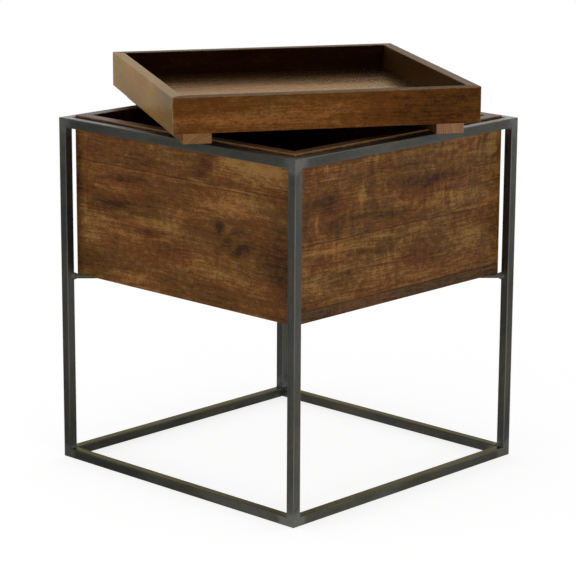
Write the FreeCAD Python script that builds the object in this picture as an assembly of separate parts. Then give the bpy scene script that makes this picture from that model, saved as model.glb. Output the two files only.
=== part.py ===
"""End table: a welded square-tube frame, a wooden storage box on crossed rods, and a lift-off tray.

Millimetres, +Z up. The origin is the middle of the frame's footprint, on the floor. -Y is the front.
"""

import FreeCAD, Part
import math
import os

from FreeCAD import Vector

# Steel frame
frame_width = 508.0
frame_depth = 508.0
frame_height = 552.0
tube_size = 15.0
tube_wall = 1.5
tube_corner = 1.8

# Crossed rods that carry the box
rod_diameter = 8.0
rod_weld_width = 3.0
rod_weld_toe = 0.4
rod_weld_length = 4.5
corner_weld_leg = 4.5

# Fixing tabs on the rods, and their screws
tab_length = 26.0
tab_width = 18.0
tab_thickness = 3.0
tab_distance = 130.0
fixing_shank = 4.0
fixing_head_flats = 7.0
fixing_head_height = 2.8
fixing_length = 11.0

# Storage box
box_gap = 3.0
box_height = 254.0
box_rise = 3.5
box_wall = 19.0
box_corner = 1.5
box_panel = 12.0
box_tongue = 8.0
box_rebate = 9.0
front_joint = 186.0
right_joint = 114.5
right_strip = 17.0
rear_joint = 150.0
left_joint = 128.0
joint_arris = 0.4

# Tray
tray_inset = 1.0
tray_height = 54.0
tray_wall = 17.0
tray_corner = 1.2
tray_panel = 16.0
tray_tongue = 9.0
tray_rebate = 7.0
tray_angle = -32.0

# Battens under the tray
batten_width = 43.5
batten_height = 19.0
batten_arris = 1.0
batten_end_screw = 70.0
batten_screws = 2
wood_screw_shank = 4.0
wood_screw_head = 8.0
wood_screw_length = 30.0

# Clearances
panel_clearance = 0.3
batten_clearance = 1.5
seat_clearance = 0.3
rod_joint_clearance = 0.1
weld_clearance = 0.4
screw_clearance = 0.1
head_clearance = 0.15

# Worked out from the sizes above
box_width = frame_width - 2 * (tube_size + box_gap)
box_depth = frame_depth - 2 * (tube_size + box_gap)
box_top = frame_height + box_rise
box_base = box_top - box_height
opening_width = box_width - 2 * box_wall
opening_depth = box_depth - 2 * box_wall
rod_axis_height = box_base - rod_diameter / 2
tray_width = box_width - 2 * tray_inset
tray_depth = box_depth - 2 * tray_inset
batten_base = box_top + seat_clearance
tray_base = batten_base + batten_height
batten_length = opening_width - 2 * batten_clearance
batten_offset = (opening_depth - batten_width) / 2 - batten_clearance


def block(x_size, y_size, z_size, z_low=0.0):
    """A box centred on the Z axis, standing on z_low."""
    return Part.makeBox(x_size, y_size, z_size, Vector(-x_size / 2, -y_size / 2, z_low))


def edges_along(shape, axis):
    """The straight edges of a shape that run along one axis (0, 1 or 2)."""
    found = []
    for edge in shape.Edges:
        span = edge.Vertexes[-1].Point - edge.Vertexes[0].Point
        across = [abs(span[i]) for i in range(3) if i != axis]
        if max(across) < 1e-6:
            found.append(edge)
    return found


def edges_at_height(shape, height):
    """The edges of a shape that lie at one height."""
    found = []
    for edge in shape.Edges:
        box = edge.BoundBox
        if abs(box.ZMin - height) < 1e-6 and abs(box.ZMax - height) < 1e-6:
            found.append(edge)
    return found


def largest(shape):
    """The largest solid of a shape that a cut has left in pieces."""
    return max(shape.Solids, key=lambda solid: solid.Volume)


def rounded_column(x_size, y_size, z_size, radius, z_low=0.0):
    """A block whose four upright edges are rounded."""
    column = block(x_size, y_size, z_size, z_low)
    return column.makeFillet(radius, edges_along(column, 2))


def turned(shape, degrees):
    """A copy of a shape, turned about the Z axis."""
    copy = shape.copy()
    copy.rotate(Vector(0, 0, 0), Vector(0, 0, 1), degrees)
    return copy


def moved(shape, x, y, z):
    """A copy of a shape, shifted."""
    copy = shape.copy()
    copy.translate(Vector(x, y, z))
    return copy


def mitre_wedge(side_length, side_offset, reach, z_low, z_high):
    """The mitred space of a rectangle's -Y side: as long as the side, narrowing inwards at 45 degrees."""
    half = side_length / 2
    points = [
        Vector(-half, -side_offset, z_low),
        Vector(half, -side_offset, z_low),
        Vector(half - reach, reach - side_offset, z_low),
        Vector(reach - half, reach - side_offset, z_low),
    ]
    face = Part.Face(Part.makePolygon(points + points[:1]))
    return face.extrude(Vector(0, 0, z_high - z_low))


def four_sides(width, depth):
    """Name, turn, side length and distance from the centre of each side of a rectangle."""
    return [
        ("front", 0, width, depth / 2),
        ("right", 90, depth, width / 2),
        ("rear", 180, width, depth / 2),
        ("left", 270, depth, width / 2),
    ]


def four_corners():
    """Name and the signs of x and y of each corner."""
    return [("front_left", -1, -1), ("front_right", 1, -1), ("rear_right", 1, 1), ("rear_left", -1, 1)]


def solid_tube(length):
    """The outside form of the square tube, standing on z = 0, also used to cope what meets it."""
    return rounded_column(tube_size, tube_size, length, tube_corner)


def square_tube(length):
    """Square tube along Z, standing on z = 0, with rounded edges outside and a sharp bore."""
    bore_size = tube_size - 2 * tube_wall
    return solid_tube(length).cut(block(bore_size, bore_size, length))


def laid_along_x(upright, length):
    """An upright bar laid down along X and centred on the origin."""
    bar = upright.copy()
    bar.rotate(Vector(0, 0, 0), Vector(0, 1, 0), 90)
    return moved(bar, -length / 2, 0, 0)


def rail_ring(z_low, make_bar):
    """The four mitred rails of one ring, as name and solid."""
    rails = []
    for name, turn, length, offset in four_sides(frame_width, frame_depth):
        bar = laid_along_x(make_bar(length), length)
        bar = moved(bar, 0, tube_size / 2 - offset, z_low + tube_size / 2)
        bar = bar.common(rounded_column(length, 2 * offset, tube_size, tube_corner, z_low))
        bar = bar.common(mitre_wedge(length, offset, tube_size, z_low, z_low + tube_size))
        rails.append((name, turned(bar, turn)))
    return rails


def make_legs():
    """Legs between the two rings, their ends coped over the rails' rounded edges."""
    top_ring_low = frame_height - tube_size
    coping = [rail for z_low in (0.0, top_ring_low) for name, rail in rail_ring(z_low, solid_tube)]
    length = top_ring_low - tube_size + 2 * tube_corner
    legs = []
    for name, x_sign, y_sign in four_corners():
        x = x_sign * (frame_width - tube_size) / 2
        y = y_sign * (frame_depth - tube_size) / 2
        leg = moved(square_tube(length), x, y, tube_size - tube_corner)
        legs.append(("leg_" + name, leg.cut(coping)))
    return legs


def corner_reach():
    """Distance from the middle of the frame to a leg's inner edge, along the diagonal."""
    return math.hypot(frame_width / 2 - tube_size, frame_depth / 2 - tube_size)


def diagonal_angle(x_sign, y_sign):
    """Direction from the middle of the frame to one of its legs, in degrees."""
    x = x_sign * (frame_width / 2 - tube_size)
    y = y_sign * (frame_depth / 2 - tube_size)
    return math.degrees(math.atan2(y, x))


def leg_forms():
    """The outside forms of the four legs, for coping the rods and their welds."""
    forms = []
    for name, x_sign, y_sign in four_corners():
        x = x_sign * (frame_width - tube_size) / 2
        y = y_sign * (frame_depth - tube_size) / 2
        forms.append(moved(solid_tube(frame_height), x, y, 0))
    return forms


def rod_between(start, end, angle, radius):
    """A round bar in the plane of the rods, from one distance to another along a direction."""
    bar = Part.makeCylinder(radius, end - start, Vector(start, 0, rod_axis_height), Vector(1, 0, 0))
    return turned(bar, angle)


def make_rods():
    """One rod right across and two half rods that meet it, all coped to what they are welded to."""
    radius = rod_diameter / 2
    reach = corner_reach() + tube_size / 2
    legs = leg_forms()
    long_angle = diagonal_angle(1, 1)
    long_rod = rod_between(-reach, reach, long_angle, radius).cut(legs)
    crossing = rod_between(-reach, reach, long_angle, radius + rod_joint_clearance)
    rods = [("cross_rod_full", long_rod)]
    for name, x_sign, y_sign in (("cross_rod_half_front", 1, -1), ("cross_rod_half_rear", -1, 1)):
        half_rod = rod_between(0, reach, diagonal_angle(x_sign, y_sign), radius)
        rods.append((name, largest(half_rod.cut(legs + [crossing]))))
    return rods


def regular_polygon(sides, flats, z=0.0):
    """A closed regular polygon round the Z axis, of the stated width across its flats."""
    corner = Part.Vertex(flats / 2 / math.cos(math.pi / sides), 0, z)
    corners = [turned(corner, 360 * (i + 0.5) / sides).Point for i in range(sides)]
    return Part.makePolygon(corners + corners[:1])


def weld_bead(angle, root, shoulder, tip):
    """A bead round a rod: full width from its root to its shoulder, thinning out to its tip."""
    wide = rod_diameter + 2 * rod_weld_width
    narrow = rod_diameter + 2 * rod_weld_toe
    stations = [(wide, root), (wide, shoulder), (narrow, tip)]
    bead = Part.makeLoft([regular_polygon(8, flats, z) for flats, z in stations], True, True)
    bead.rotate(Vector(0, 0, 0), Vector(0, 1, 0), 90)
    return turned(moved(bead, 0, 0, rod_axis_height), angle)


def make_rod_welds(rods):
    """Beads where the rods meet the legs, and where the half rods meet the full rod."""
    solids = [rod for name, rod in rods]
    beads = []
    for name, x_sign, y_sign in four_corners():
        root = corner_reach() + rod_diameter / 2 + rod_weld_width
        tip = corner_reach() - rod_weld_length
        bead = weld_bead(diagonal_angle(x_sign, y_sign), root, corner_reach(), tip)
        beads.append(bead.cut(leg_forms() + solids))
    for x_sign, y_sign in ((1, -1), (-1, 1)):
        tip = rod_diameter / 2 + rod_weld_length
        bead = weld_bead(diagonal_angle(x_sign, y_sign), 0, rod_diameter / 2, tip)
        beads.append(bead.cut(solids))
    box_space = block(box_width, box_depth, box_height, box_base - weld_clearance)
    return Part.makeCompound([largest(bead.cut(box_space)) for bead in beads])


def corner_fillet_bead():
    """A hollow fillet bead along Y in the corner between a wall at x = 0 and a floor at z = 0."""
    width = tube_size - 2 * tube_corner
    root = Vector(0, -width / 2, 0)
    floor_toe = Vector(corner_weld_leg, -width / 2, 0)
    wall_toe = Vector(0, -width / 2, corner_weld_leg)
    hollow = Vector(corner_weld_leg * 0.36, -width / 2, corner_weld_leg * 0.36)
    legs = Part.makePolygon([wall_toe, root, floor_toe])
    throat = Part.Arc(floor_toe, hollow, wall_toe).toShape()
    return Part.Face(Part.Wire(legs.Edges + [throat])).extrude(Vector(0, width, 0))


def make_corner_welds():
    """Fillet beads between each leg and the rails above and below it."""
    bead = corner_fillet_bead()
    hanging = bead.mirror(Vector(0, 0, 0), Vector(0, 0, 1))
    beads = []
    for name, turn, length, offset in four_sides(frame_width, frame_depth):
        for end, end_turn in ((-1, 0), (1, 180)):
            x = end * (length / 2 - tube_size)
            for form, z in ((bead, tube_size), (hanging, frame_height - tube_size)):
                placed = moved(turned(form, end_turn), x, tube_size / 2 - offset, z)
                beads.append(turned(placed, turn))
    return Part.makeCompound(beads)


def hexagon_screw():
    """A hexagon-head screw along Z: the underside of its head at z = 0, its shank upwards."""
    head = Part.Face(regular_polygon(6, fixing_head_flats)).extrude(Vector(0, 0, -fixing_head_height))
    shank = Part.makeCylinder(fixing_shank / 2, fixing_length)
    return head.fuse(shank).removeSplitter()


def at_fixings(shape):
    """A copy of a shape beside each arm of the crossed rods, where the fixing tabs are."""
    beside = moved(shape, tab_distance, (rod_diameter + tab_width) / 2, 0)
    return [turned(beside, diagonal_angle(x_sign, y_sign)) for name, x_sign, y_sign in four_corners()]


def make_fixings(rods):
    """Tabs welded beside the rods, level with their tops, and the screws that pass up through them."""
    coping = [rod for name, rod in rods]
    seat = box_base - tab_thickness
    tab = moved(block(tab_length, tab_width + rod_diameter / 2, tab_thickness), 0, -rod_diameter / 4, 0)
    outer_corners = [edge for edge in edges_along(tab, 2) if edge.CenterOfMass.y > 0]
    tab = tab.makeChamfer(tab_width / 4, outer_corners)
    tab = tab.cut(Part.makeCylinder(fixing_shank / 2 + screw_clearance, tab_thickness))
    tabs = [largest(placed.cut(coping)) for placed in at_fixings(moved(tab, 0, 0, seat))]
    screws = at_fixings(moved(hexagon_screw(), 0, 0, seat))
    return Part.makeCompound(tabs), Part.makeCompound(screws)


def rebated_shell(width, depth, height, wall, tongue, rebate, corner):
    """Four walls round an opening, standing on z = 0: arrises eased, and a rebate for a bottom panel."""
    shell = rounded_column(width, depth, height, corner)
    shell = shell.cut(block(width - 2 * wall, depth - 2 * wall, height))
    shell = shell.makeChamfer(corner / 2, edges_at_height(shell, height))
    margin = wall - rebate
    return shell.cut(block(width - 2 * margin, depth - 2 * margin, tongue))


def housed_panel(width, depth, thickness, wall, tongue, rebate, z_low):
    """A bottom panel: its field lies between the walls, and its thinner tongue in their rebate."""
    field_margin = wall + panel_clearance
    tongue_margin = wall - rebate + panel_clearance
    field = block(width - 2 * field_margin, depth - 2 * field_margin, thickness, z_low)
    tongue_slab = block(width - 2 * tongue_margin, depth - 2 * tongue_margin, tongue, z_low)
    return field.fuse(tongue_slab).removeSplitter()


def box_joint_heights():
    """Heights of the glued joints of each box wall above the box's underside."""
    return {
        "front": [front_joint],
        "right": [right_strip, right_joint],
        "rear": [rear_joint],
        "left": [left_joint],
    }


def board_names(joints):
    """Names of the boards of a wall, from the bottom up."""
    return ["lower", "upper"] if len(joints) == 1 else ["strip", "lower", "upper"]


def joint_groove(length, offset, height):
    """A fine V along the outside of the -Y wall at one height."""
    points = [
        Vector(-length, -offset, height - joint_arris),
        Vector(-length, joint_arris - offset, height),
        Vector(-length, -offset, height + joint_arris),
    ]
    return Part.Face(Part.makePolygon(points + points[:1])).extrude(Vector(2 * length, 0, 0))


def make_box_boards():
    """The mitred walls of the box, each split into its edge-glued boards."""
    shell = rebated_shell(
        box_width, box_depth, box_height, box_wall, box_tongue, box_rebate, box_corner
    )
    joints_of = box_joint_heights()
    boards = []
    for side, turn, length, offset in four_sides(box_width, box_depth):
        joints = joints_of[side]
        levels = [0.0] + joints + [box_height]
        for name, low, high in zip(board_names(joints), levels, levels[1:]):
            board = turned(shell, -turn).common(mitre_wedge(length, offset, box_wall, low, high))
            board = board.cut([joint_groove(length, offset, height) for height in joints])
            boards.append((f"box_{side}_{name}_board", moved(turned(board, turn), 0, 0, box_base)))
    return boards


def make_box_panel():
    """The box's bottom panel, with a blind hole in its underside for each fixing screw."""
    panel = housed_panel(
        box_width, box_depth, box_panel, box_wall, box_tongue, box_rebate, box_base
    )
    hole_depth = fixing_length - tab_thickness + screw_clearance
    hole = Part.makeCylinder(fixing_shank / 2 + screw_clearance, hole_depth)
    return panel.cut(at_fixings(moved(hole, 0, 0, box_base)))


def wood_screw():
    """A countersunk screw along Z: the face of its head at z = 0, its shank upwards."""
    sink_depth = (wood_screw_head - wood_screw_shank) / 2
    head = Part.makeCone(wood_screw_head / 2, wood_screw_shank / 2, sink_depth)
    shank = Part.makeCylinder(wood_screw_shank / 2, wood_screw_length)
    return head.fuse(shank).removeSplitter()


def wood_screw_hole():
    """The clearance hole and countersink of one wood screw."""
    head_radius = wood_screw_head / 2 + head_clearance
    shank_radius = wood_screw_shank / 2 + screw_clearance
    sink = Part.makeCone(head_radius, shank_radius, head_radius - shank_radius)
    return sink.fuse(Part.makeCylinder(shank_radius, wood_screw_length + screw_clearance))


def at_batten_screws(shape):
    """A copy of a shape at each screw along both battens, square to the table."""
    first = batten_end_screw - batten_length / 2
    pitch = -2 * first / (batten_screws - 1)
    copies = []
    for side in (-1, 1):
        for i in range(batten_screws):
            copies.append(moved(shape, first + i * pitch, side * batten_offset, batten_base))
    return copies


def make_tray():
    """The tray's walls, panel, battens and screws, drawn square to the table and then turned."""
    shell = rebated_shell(
        tray_width, tray_depth, tray_height, tray_wall, tray_tongue, tray_rebate, tray_corner
    )
    holes = at_batten_screws(wood_screw_hole())
    pieces = []
    for side, turn, length, offset in four_sides(tray_width, tray_depth):
        wall = turned(shell, -turn).common(mitre_wedge(length, offset, tray_wall, 0, tray_height))
        pieces.append((f"tray_{side}_wall", moved(turned(wall, turn), 0, 0, tray_base)))
    panel = housed_panel(
        tray_width, tray_depth, tray_panel, tray_wall, tray_tongue, tray_rebate, tray_base
    )
    pieces.append(("tray_bottom_panel", panel.cut(holes)))
    batten = block(batten_length, batten_width, batten_height, batten_base)
    eased = edges_at_height(batten, batten_base) + edges_along(batten, 2)
    batten = batten.makeChamfer(batten_arris, eased)
    for name, side in (("front", -1), ("rear", 1)):
        pieces.append((f"tray_{name}_batten", moved(batten, 0, side * batten_offset, 0).cut(holes)))
    pieces.append(("tray_batten_screws", Part.makeCompound(at_batten_screws(wood_screw()))))
    return [(name, turned(piece, tray_angle)) for name, piece in pieces]


def make_frame():
    """All the steel: rings, legs, rods, welds, tabs and fixing screws."""
    pieces = []
    for ring, z_low in (("bottom", 0.0), ("top", frame_height - tube_size)):
        pieces += [(f"{ring}_rail_{side}", rail) for side, rail in rail_ring(z_low, square_tube)]
    pieces += make_legs()
    rods = make_rods()
    pieces += rods
    pieces.append(("rod_welds", make_rod_welds(rods)))
    pieces.append(("corner_welds", make_corner_welds()))
    tabs, screws = make_fixings(rods)
    pieces.append(("box_fixing_tabs", tabs))
    pieces.append(("box_fixing_screws", screws))
    return pieces


def main():
    os.makedirs("parts", exist_ok=True)
    pieces = make_frame() + make_box_boards() + [("box_bottom_panel", make_box_panel())] + make_tray()
    for name, shape in pieces:
        shape.exportStep(f"parts/{name}.step")
        box = shape.BoundBox
        print(name, len(shape.Solids), shape.isValid(), round(shape.Volume), round(box.ZMin, 2))


main()
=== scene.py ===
"""Looks of an end table: stained mango wood, blackened steel, welds and screws, and the studio round it.

Metres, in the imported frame's own space: +Z up, the origin in the middle of the footprint, -Y the front.
"""

import math
from collections import namedtuple
from functools import partialmethod, reduce

import bmesh
import bpy
from bpy.props import FloatProperty, FloatVectorProperty, PointerProperty
from mathutils import Matrix, Vector, noise


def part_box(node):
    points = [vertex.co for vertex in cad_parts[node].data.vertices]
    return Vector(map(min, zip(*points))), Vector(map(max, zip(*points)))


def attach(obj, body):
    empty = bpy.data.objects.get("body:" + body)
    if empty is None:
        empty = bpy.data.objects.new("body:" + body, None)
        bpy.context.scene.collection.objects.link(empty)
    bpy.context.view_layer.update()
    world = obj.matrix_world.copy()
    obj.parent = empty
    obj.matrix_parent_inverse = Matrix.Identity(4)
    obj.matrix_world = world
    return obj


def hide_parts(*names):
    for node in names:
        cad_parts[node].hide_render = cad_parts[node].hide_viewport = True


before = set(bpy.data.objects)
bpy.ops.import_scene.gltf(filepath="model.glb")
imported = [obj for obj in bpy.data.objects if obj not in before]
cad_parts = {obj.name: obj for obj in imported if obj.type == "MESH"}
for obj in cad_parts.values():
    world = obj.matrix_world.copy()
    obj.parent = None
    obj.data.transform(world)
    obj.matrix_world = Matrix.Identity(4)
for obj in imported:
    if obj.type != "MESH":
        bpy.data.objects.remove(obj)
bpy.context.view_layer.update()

bl_info = {
    "name": "Lift Top End Table",
    "version": (1, 0, 0),
    "blender": (4, 5, 0),
    "location": "3D View > Sidebar > End Table",
    "description": "Wood stain, blackened steel, welds and screws of an end table with a lift-off tray",
    "category": "Object",
}

MM = 0.001

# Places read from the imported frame
LEG_LOW, LEG_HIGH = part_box("leg_front_left")
FRAME_HALF = -LEG_LOW.x
TUBE = LEG_HIGH.x - LEG_LOW.x
FRAME_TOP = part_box("top_rail_front")[1].z
ROD_LOW, ROD_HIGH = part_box("cross_rod_full")
ROD_RADIUS = (ROD_HIGH.z - ROD_LOW.z) / 2
ROD_HEIGHT = (ROD_HIGH.z + ROD_LOW.z) / 2
BOX_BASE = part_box("box_front_lower_board")[0].z
BOX_HALF = -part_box("box_front_lower_board")[0].x
BOX_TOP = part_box("box_front_upper_board")[1].z
BATTEN_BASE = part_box("tray_front_batten")[0].z
TRAY_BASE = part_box("tray_right_wall")[0].z
TRAY_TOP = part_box("tray_right_wall")[1].z

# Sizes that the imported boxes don't give: the tray is turned, the walls are mitred, and small parts are in groups
TRAY_TURN = math.radians(-32)
TRAY_HALF = 235 * MM
TRAY_WALL = 17 * MM
BOX_WALL = 19 * MM
BATTEN_HALF_LENGTH = 215.5 * MM
BATTEN_OFFSET = 193.75 * MM
BATTEN_SCREW_PLACE = 145.5 * MM
FIXING_DISTANCE = 130 * MM
FIXING_SIDE = 13 * MM
TAB_THICKNESS = 3 * MM
TUBE_CORNER = 1.8 * MM

# Directions from the middle of the frame to its four legs
LEG_DIRECTIONS = tuple(math.radians(angle) for angle in (-135, -45, 45, 135))

# Welds: length of the forms that cut them, how far they sink into what they hold, their distance to the box,
# the length of a fillet's ripples, and waves per metre of the noise in beads and in fillets
CUTTER_LENGTH = 60 * MM
SINK = 0.05 * MM
BOX_CLEARANCE = 0.3 * MM
RIPPLE_LENGTH = 1.8 * MM
LUMP_WAVES, FINE_WAVES = 330, 900
FILLET_WAVES = 420

# Screws: size of one slot of a cross recess, sunk by half of its height, how much narrower it is at its bottom,
# and the length of a pointed tip
RECESS_SLOT = (4.4 * MM, 0.9 * MM, 2.4 * MM)
RECESS_TAPER = 0.45
TIP_LENGTH = 5 * MM

# Depths of the grain's and the patina's relief, and how strongly worn arrises show
GRAIN_DEPTH = 0.4 * MM
PATINA_DEPTH = 0.25 * MM
ARRIS_WEAR = 0.6

# Depths under a face at which a batten's sawn look, and the painted shade on a lower rail's upper face, start and
# are full
SURFACE_DEPTHS = (1.2 * MM, 0.4 * MM)

# Bare steel: distances from a corner where the grinding ends and where it is full, and from the middle of a
# tube's face where the pale band along its rounded arris, partly worn bare and partly a painted highlight, starts
# and where it is full
GROUND_REACH = (30 * MM, 8 * MM)
ARRIS_BAND = (5.8 * MM, 6.6 * MM)

# Tints of the painted shade on the lower rails' upper faces, which also tints these rails' reflections, and of the
# narrow board at the foot of the box's right wall
LOWER_RAIL_UPPER_SHADE = (0.63, 0.585, 0.45)
STRIP_TINT = (0.92, 1.15, 1.8)

# Level directions across the studio: towards its backdrop, and to the right of it
BACKWARD = (-0.688, 0.726, 0.0)
RIGHTWARD = (0.726, 0.688, 0.0)

# Distances from the middle between which the floor turns white, seen directly, and in reflections, where near the
# table it carries a painted shadow
FLOOR_FADE = (0.45, 1.5)
MIRRORED_FADE = (1.6, 3.0)

# The lamps' width and height, the places of lamps and camera, and the camera's yaw, pitch and roll in degrees
LAMP_SIZE = (2.2, 0.6)
RIGHT_LAMP_PLACE = (3.0, -1.2, 0.32)
LEFT_LAMP_PLACE = (-1.2, -3.0, 0.32)
CAMERA_PLACE = (2.6210, -2.7652, 1.2067)
CAMERA_TURN = (43.469, 13.707, 0.303)
SENSOR_WIDTH = 36.0

# A soft spot in a board's figure or in painted light on the tray, in millimetres along the grain and above the
# board's base. Tone makes it lighter or darker, swell parts the grain round it, and curl shows the cross figure
# there.
Spot = namedtuple("Spot", "along height half_length half_height turn tone swell curl", defaults=(0, 0, 0, 0))


def soft_spots(*spots):
    """A board's figure, and on the tray the painted light on it, from the values of each of its spots."""
    return tuple(Spot(*values) for values in spots)


# How a board is finished: the lacquer's strength square on, how much smoother than plain, its golden sheen, how
# strongly its figure shows, how deep its grain is, and how much of it reflects in the polish's own colour
Finish = namedtuple("Finish", "gloss smoother sheen figure relief lustre", defaults=(0.0,))
BOX_FINISH = Finish(0.08, 0.0, 0.0, 1.12, 0.6)
TRAY_FINISH = Finish(0.01, 0.10, 0.20, 0.9, 0.4)
TRAY_FRONT_FINISH = Finish(0.02, 0.10, 0.58, 0.8, 0.4)
PANEL_FINISH = Finish(1.0, 0.11, 0.05, 1.3, 0.30, 0.62)
TRAY_RIGHT_FINISH = Finish(0.003, 0.10, 0.14, 0.82, 0.4)
RIGHT_FINISH = Finish(0.08, 0.0, 0.0, 1.22, 0.6)

FRONT_FIGURE = soft_spots(
    (165, 222, 120, 36, 0, 0.30),
    (54, 220, 20, 40, 38, -0.36),
    (92, 218, 5, 36, 38, 0.16),
    (38, 186, 26, 5, 4, 0.34),
    (118, 185, 50, 3, 0, 0.26),
    (120, 160, 80, 22, -6, 0.20),
    (-30, 140, 80, 60, 0, 0.10),
    (60, 140, 60, 30, 0, 0.07),
    (-100, 171, 95, 11, -3, -0.26),
    (-176, 148, 44, 5, 0, 0.16),
    (-158, 124, 52, 17, -8, -0.28),
    (-60, 106, 75, 13, -4, 0.17),
    (-9, 118, 13, 11, 0, 0.24, 0.7),
    (-9, 118, 5, 5, 0, -0.30),
    (-9, 118, 2, 2, 0, 0.30),
    (-62, 94, 44, 9, -4, -0.30),
    (-20, 76, 75, 17, -4, -0.20),
    (-170, 88, 40, 24, 0, 0.10),
    (22, 101, 34, 9, 12, 0.14, 0, 0.7),
    (82, 125, 14, 14, 20, -0.34, 0.9),
    (84, 119, 5, 8, 30, -0.24),
    (102, 106, 40, 13, -40, -0.30, 0.5),
    (126, 94, 30, 12, -22, -0.34, 0.7),
    (165, 98, 70, 34, -10, -0.20),
    (170, 121, 8, 7, 0, 0.14, 0.7),
    (170, 121, 3, 3, 0, -0.16),
    (208, 96, 44, 70, 0, -0.26),
    (-198, 64, 34, 26, 0, 0.20),
    (-136, 66, 4, 26, 0, 0.18, 0, 0.9),
    (-214, 108, 1.6, 45, 0, 0.20),
    (-229, 128, 10, 150, 0, -0.18),
    (-92, 18, 60, 9, 0, 0.16),
    (110, 56, 70, 18, -12, 0.10),
)

RIGHT_FIGURE = soft_spots(
    (150, 220, 110, 30, 0, 0.20, 0, 0.5),
    (212, 214, 32, 46, 0, 0.26, 0, 1.0),
    (-150, 222, 60, 8, 0, 0.13, 0, 0.7),
    (206, 236, 34, 5, -52, -0.34),
    (178, 212, 5, 22, 14, -0.30),
    (214, 190, 26, 6, -30, -0.20),
    (-172, 207, 50, 2.2, 1, 0.20),
    (-120, 228, 34, 10, 0, -0.14),
    (-180, 220, 28, 14, 0, 0.16, 0, 0.8),
    (130, 140, 115, 14, 2, 0.24, 0, 1.0),
    (-40, 205, 90, 13, 0, -0.16),
    (60, 177, 110, 13, 3, -0.22),
    (-172, 172, 40, 22, 0, -0.26),
    (-92, 171, 18, 28, 0, 0.28, 0, 1.0),
    (-190, 140, 14, 34, 0, 0.12, 0, 0.8),
    (-20, 133, 45, 10, 0, -0.22),
    (60, 158, 90, 26, 0, 0.02, 0, 0.9),
    (90, 180, 40, 12, -8, -0.16),
    (-150, 100, 80, 10, 1, 0.27),
    (-60, 106, 60, 4, 2, 0.14),
    (-80, 84, 60, 12, 0, -0.14),
    (-45, 61, 36, 2.4, 3, -0.42),
    (-130, 52, 60, 18, 0, -0.12),
    (-119, 60, 5, 5, 0, -0.30, 0.8),
    (-40, 62, 40, 26, 0, 0.14, 0, 0.4),
    (46, 62, 46, 26, 0, -0.24),
    (170, 84, 60, 20, 0, 0.08),
    (60, 34, 150, 7, 0, 0.12),
    (-200, 45, 30, 14, 0, 0.14),
)

# The tray's front wall: a painted dark reflection of the box and the rail towards its low end by the tray's right
# wall, and a lighter patch towards its other end
TRAY_FRONT_FIGURE_AND_SHADE = soft_spots(
    (235, 10, 150, 110, 0, -0.70),
    (-120, 40, 140, 60, 0, 0.10),
)

# The tray panel's spots are painted light: a painted highlight over its middle, and painted shade towards one end
# and along its far side
PANEL_PAINTED_LIGHT = soft_spots(
    (0, 30, 190, 170, 0, 0.42),
    (205, 100, 70, 200, 0, -0.60),
    (0, 210, 260, 50, 0, -0.30),
)

TRAY_RIGHT_FIGURE = soft_spots(
    (-150, 20, 120, 14, 0, 0.20),
    (-40, 30, 90, 20, 0, 0.08),
    (40, 34, 8, 10, 20, -0.22, 0.8),
    (180, 27, 110, 60, 0, -0.30),
    (60, 44, 90, 8, 0, -0.12),
)


def scene_colour(name, description, default):
    return FloatVectorProperty(
        name=name, description=description, default=default, subtype="COLOR", size=3, min=0.0, max=1.0
    )


def scene_number(name, description, default, low=0.0, **kind):
    return FloatProperty(name=name, description=description, default=default, min=low, **kind)


def scene_share(name, description, default):
    return scene_number(name, description, default, subtype="FACTOR", max=1.0)


def scene_length(name, description, default):
    return scene_number(name, description, default, subtype="DISTANCE", unit="LENGTH")


def scene_power(name, description, default):
    return scene_number(name, description, default, unit="POWER")


class StainSettings(bpy.types.PropertyGroup):
    """Colours and gloss of the stained wood"""

    dark: scene_colour("Dark", "Stain in the darkest streaks", (0.030, 0.011, 0.0035))
    middle: scene_colour("Middle", "Stain of the plain wood", (0.096, 0.037, 0.009))
    golden: scene_colour("Golden", "Stain in the lightest figure", (0.240, 0.120, 0.036))
    worn: scene_colour("Worn", "Wood on rubbed arrises", (0.260, 0.180, 0.100))
    end: scene_colour("End grain", "Sawn ends of the battens", (0.200, 0.098, 0.040))
    gloss: scene_number("Gloss", "Strength of the lacquer's reflection", 1.0, max=4.0)
    # Painted shade: this tint darkens the inner faces of the box and the tray
    inside: scene_colour("Inside", "Tint of the wood inside the box and the tray", (0.38, 0.28, 0.26))
    sheen: scene_colour("Sheen", "Colour of the polish seen at a low angle", (1.0, 0.66, 0.23))
    lustre: scene_colour("Lustre", "Colour of the tray panel's reflections", (1.0, 0.66, 0.34))
    wear: scene_length("Wear", "Width of the rubbed line along each arris", 0.0012)


class SteelSettings(bpy.types.PropertyGroup):
    """Colours of the blackened steel"""

    dark: scene_colour("Dark", "Steel where the blackening is heavy", (0.036, 0.036, 0.031))
    light: scene_colour("Light", "Steel where the blackening is thin", (0.096, 0.095, 0.082))
    # Ground is also the colour of the painted highlight along the tubes' arrises
    ground: scene_colour("Ground", "Steel ground back near the welded corners", (0.200, 0.200, 0.190))
    weld: scene_colour("Weld", "Bare weld metal", (0.110, 0.108, 0.100))
    zinc: scene_colour("Zinc", "Plating of the screws", (0.460, 0.455, 0.430))
    metal: scene_share("Metal", "How metallic the blackened steel is", 0.85)


class WeldSettings(bpy.types.PropertyGroup):
    """Sizes of the welds"""

    collar: scene_length("Collar", "How far a rod's bead stands out from the rod", 0.0018)
    run: scene_length("Run", "How far a rod's bead runs along the rod", 0.0045)
    lumps: scene_length("Lumps", "Height of the lumps of a rod's bead", 0.0006)
    fillet: scene_length("Fillet", "Leg of a fillet between tubes", 0.0045)
    ripple: scene_length("Ripple", "Height of the ripples of a fillet", 0.00025)


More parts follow.
